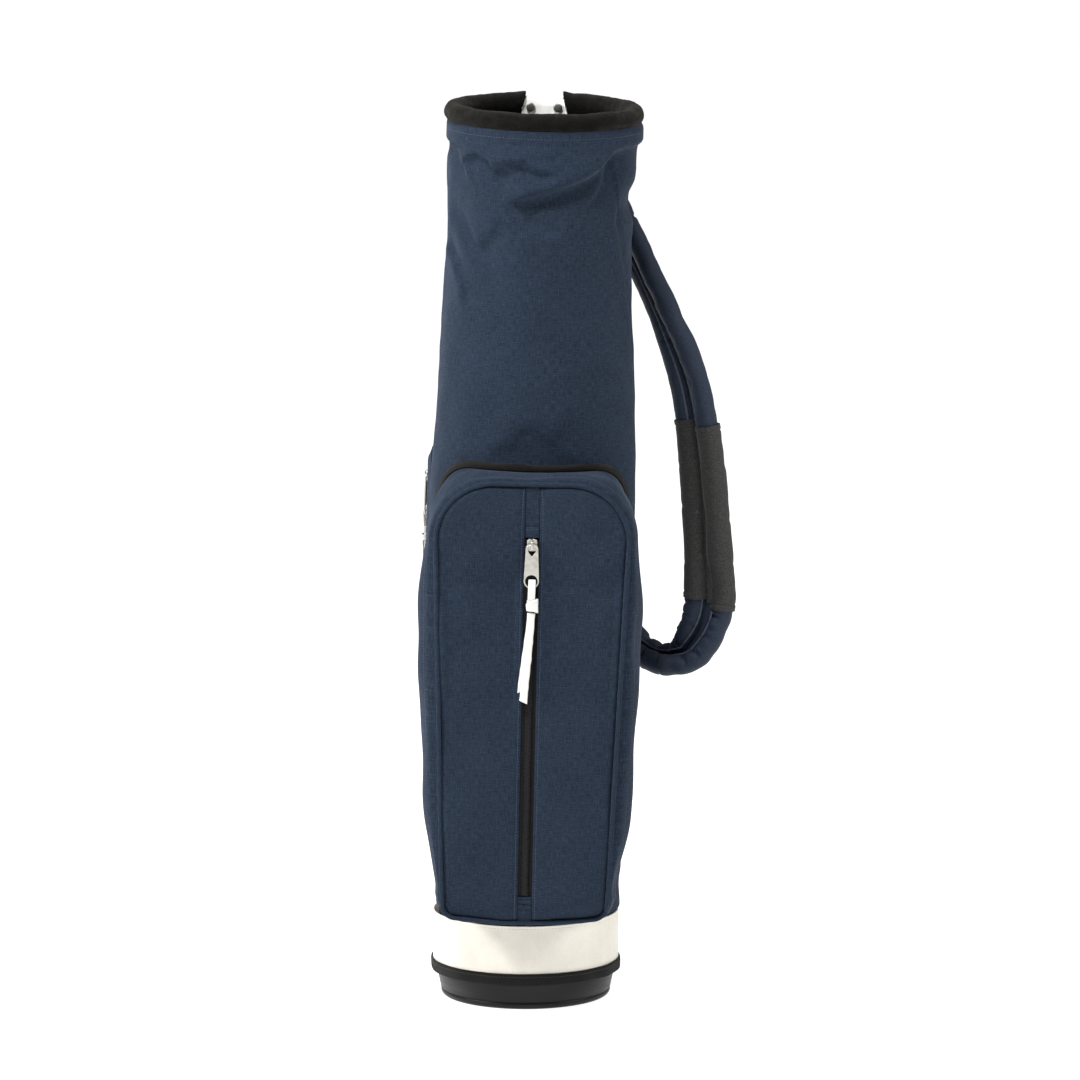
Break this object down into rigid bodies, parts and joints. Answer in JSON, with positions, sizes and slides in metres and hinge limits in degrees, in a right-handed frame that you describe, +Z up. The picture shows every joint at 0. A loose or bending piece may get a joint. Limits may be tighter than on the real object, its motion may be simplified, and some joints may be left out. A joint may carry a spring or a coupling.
{
  "type": "golf carry bag",
  "caption": "Slim canvas golf carry bag on a moulded base, with a zipped front pocket, a padded mouth and one double padded shoulder strap.",
  "frame": {"origin": "centre of the flat underside of the moulded base", "axes": "+Z up the bag; -Y is the front, where the large zipped pocket is; +X is the side that the strap hangs on"},
  "size_m": [0.3183, 0.298, 0.8917],
  "materials": {
    "navy_canvas": "fine cross-dyed polyester canvas with a faint ripstop grid, lined",
    "navy_strap": "smooth padded polyester twill",
    "black_velour": "short-pile velour",
    "black_tape": "ribbed grosgrain and webbing",
    "black_grip": "grained non-slip fabric",
    "white_vinyl": "smooth off-white coated vinyl, lightly grained",
    "lace_leather": "soft flat white leather lace",
    "boot_plastic": "satin moulded polymer",
    "zip_tape": "woven tape",
    "zip_coil": "nylon coil",
    "nickel": "polished nickel plate",
    "rivet_metal": "dark gunmetal",
    "spring_wire": "drawn wire",
    "rod_fibreglass": "pultruded glass fibre"
  },
  "bodies": {
    "shell": {"base_boot": "boot_plastic", "cuff_band": "white_vinyl", "cuff_binding": "black_tape", "body_tube": "navy_canvas", "throat_liner": "black_velour", "rim_pad": "black_velour", "rim_hoop": "spring_wire", "top_tab": "white_vinyl", "tab_rivet_left": "rivet_metal", "tab_rivet_right": "rivet_metal", "spine_rod": "rod_fibreglass", "spine_sleeve": "navy_canvas", "spine_strip": "white_vinyl", "haul_handle": "white_vinyl", "handle_rivet_lower": "rivet_metal", "handle_rivet_upper": "rivet_metal", "anchor_patch_upper": "black_tape", "anchor_patch_lower": "black_tape", "anchor_rivet_upper_left": "rivet_metal", "anchor_rivet_upper_right": "rivet_metal", "anchor_rivet_lower_left": "rivet_metal", "anchor_rivet_lower_right": "rivet_metal", "pocket_gusset": "navy_canvas", "pocket_binding": "black_tape", "pocket_piping": "navy_canvas", "pocket_panel_left": "navy_canvas", "pocket_panel_right": "navy_canvas", "zip_tape_left": "zip_tape", "zip_coil_left": "zip_coil", "zip_tape_right": "zip_tape", "zip_coil_right": "zip_coil", "zip_top_tab": "navy_canvas", "zip_bottom_tab": "navy_canvas", "side_zip_tape_left": "zip_tape", "side_zip_coil_left": "zip_coil", "side_zip_tape_right": "zip_tape", "side_zip_coil_right": "zip_coil", "side_zip_welt": "navy_canvas", "side_pocket_lining": "zip_tape"},
    "strap_rings": {"anchor_ring_upper": "nickel", "anchor_ring_lower": "nickel"},
    "strap": {"strap_tail_upper": "black_tape", "strap_tail_lower": "black_tape", "strap_tube_front": "navy_strap", "grip_sleeve_front": "black_grip", "strap_tube_rear": "navy_strap", "grip_sleeve_rear": "black_grip", "strap_web": "navy_strap"},
    "slider": {"zip_slider": "nickel"},
    "pull": {"zip_pull": "nickel"},
    "lace": {"lace_knot": "lace_leather", "lace_tail_left": "lace_leather", "lace_tail_right": "lace_leather"},
    "side_slider": {"side_zip_slider": "nickel"},
    "side_pull": {"side_zip_pull": "nickel"},
    "side_lace": {"side_lace_knot": "lace_leather", "side_lace_tail_left": "lace_leather", "side_lace_tail_right": "lace_leather"}
  },
  "joints": [
    {"name": "ring_swing", "type": "hinge", "parent": "shell", "child": "strap_rings", "pos_m": [0.01691, 0.1022, 0.79784], "axis": [0.0209, 0, 0.9998], "range_deg": [0, 60]},
    {"name": "strap_swing", "type": "hinge", "parent": "strap_rings", "child": "strap", "pos_m": [0.01691, 0.1215, 0.79784], "axis": [0.0209, 0, 0.9998], "range_deg": [0, 135]},
    {"name": "zip_slide", "type": "slide", "parent": "shell", "child": "slider", "axis": [-0.0209, 0, -0.9998], "range_m": [0, 0.32]},
    {"name": "pull_flip", "type": "hinge", "parent": "slider", "child": "pull", "pos_m": [0.00658, -0.153, 0.47669], "axis": [-0.9998, 0, 0.0209], "range_deg": [0, 175]},
    {"name": "lace_swing", "type": "hinge", "parent": "pull", "child": "lace", "pos_m": [0.00585, -0.153, 0.4417], "axis": [0, 1, 0], "range_deg": [-45, 45]},
    {"name": "side_zip_slide", "type": "slide", "parent": "shell", "child": "side_slider", "axis": [-0.0209, 0, -0.9998], "range_m": [0, 0.206]},
    {"name": "side_pull_flip", "type": "hinge", "parent": "side_slider", "child": "side_pull", "pos_m": [-0.0968, 0.03872, 0.51636], "axis": [0.3745, 0.9272, -0.0078], "range_deg": [0, 175]},
    {"name": "side_lace_swing", "type": "hinge", "parent": "side_pull", "child": "side_lace", "pos_m": [-0.09754, 0.03872, 0.48137], "axis": [0.927, -0.3746, -0.0194], "range_deg": [-45, 45]}
  ]
}
